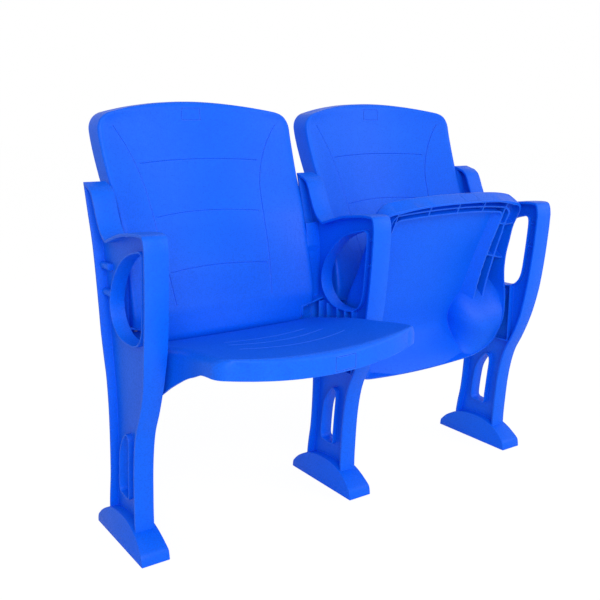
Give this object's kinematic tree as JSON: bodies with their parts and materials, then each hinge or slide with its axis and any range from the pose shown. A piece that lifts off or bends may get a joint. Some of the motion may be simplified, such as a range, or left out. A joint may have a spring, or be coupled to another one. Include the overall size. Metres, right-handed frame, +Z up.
{
  "type": "stadium seat",
  "caption": "Row of tip-up stadium seats in moulded plastic, with dished backs, hollow seat pans and side frames with arm rests, hand holes and arched feet. One seat down, one tipped up.",
  "frame": {"origin": "on the floor under the middle side frame, at the middle of its foot", "axes": "+X along the row to the right as seen from the front, the sitter faces -Y, +Z up"},
  "size_m": [1.059, 0.5834, 0.8751],
  "materials": {
    "blue_plastic": "fine textured, satin",
    "steel": "zinc plated",
    "white_nylon": "natural",
    "black_rubber": "matte"
  },
  "bodies": {
    "row": {"stanchion_left": "blue_plastic", "pivot_pin_left": "steel", "stanchion_middle": "blue_plastic", "pivot_pin_middle": "steel", "stanchion_right": "blue_plastic", "pivot_pin_right": "steel", "backrest_left": "blue_plastic", "friction_washer_left_seat_left": "white_nylon", "stop_buffer_left_seat_left": "black_rubber", "back_screw_lower_left_seat_left": "steel", "back_washer_lower_left_seat_left": "steel", "back_screw_upper_left_seat_left": "steel", "back_washer_upper_left_seat_left": "steel", "wing_screw_left_seat_left": "steel", "friction_washer_left_seat_right": "white_nylon", "stop_buffer_left_seat_right": "black_rubber", "back_screw_lower_left_seat_right": "steel", "back_washer_lower_left_seat_right": "steel", "back_screw_upper_left_seat_right": "steel", "back_washer_upper_left_seat_right": "steel", "wing_screw_left_seat_right": "steel", "backrest_right": "blue_plastic", "friction_washer_right_seat_left": "white_nylon", "stop_buffer_right_seat_left": "black_rubber", "back_screw_lower_right_seat_left": "steel", "back_washer_lower_right_seat_left": "steel", "back_screw_upper_right_seat_left": "steel", "back_washer_upper_right_seat_left": "steel", "wing_screw_right_seat_left": "steel", "friction_washer_right_seat_right": "white_nylon", "stop_buffer_right_seat_right": "black_rubber", "back_screw_lower_right_seat_right": "steel", "back_washer_lower_right_seat_right": "steel", "back_screw_upper_right_seat_right": "steel", "back_washer_upper_right_seat_right": "steel", "wing_screw_right_seat_right": "steel"},
    "seat_left": {"seat_pan_left": "blue_plastic", "pivot_bush_left_seat_left": "white_nylon", "pivot_bush_left_seat_right": "white_nylon"},
    "seat_right": {"seat_pan_right": "blue_plastic", "pivot_bush_right_seat_left": "white_nylon", "pivot_bush_right_seat_right": "white_nylon"}
  },
  "joints": [
    {"name": "seat_left_tip", "type": "hinge", "parent": "row", "child": "seat_left", "pos_m": [-0.25, -0.035, 0.36], "axis": [-1, 0, 0], "range_deg": [0, 58]},
    {"name": "seat_right_tip", "type": "hinge", "parent": "row", "child": "seat_right", "pos_m": [0.25, -0.035, 0.36], "axis": [-1, 0, 0], "range_deg": [-58, 0]}
  ]
}
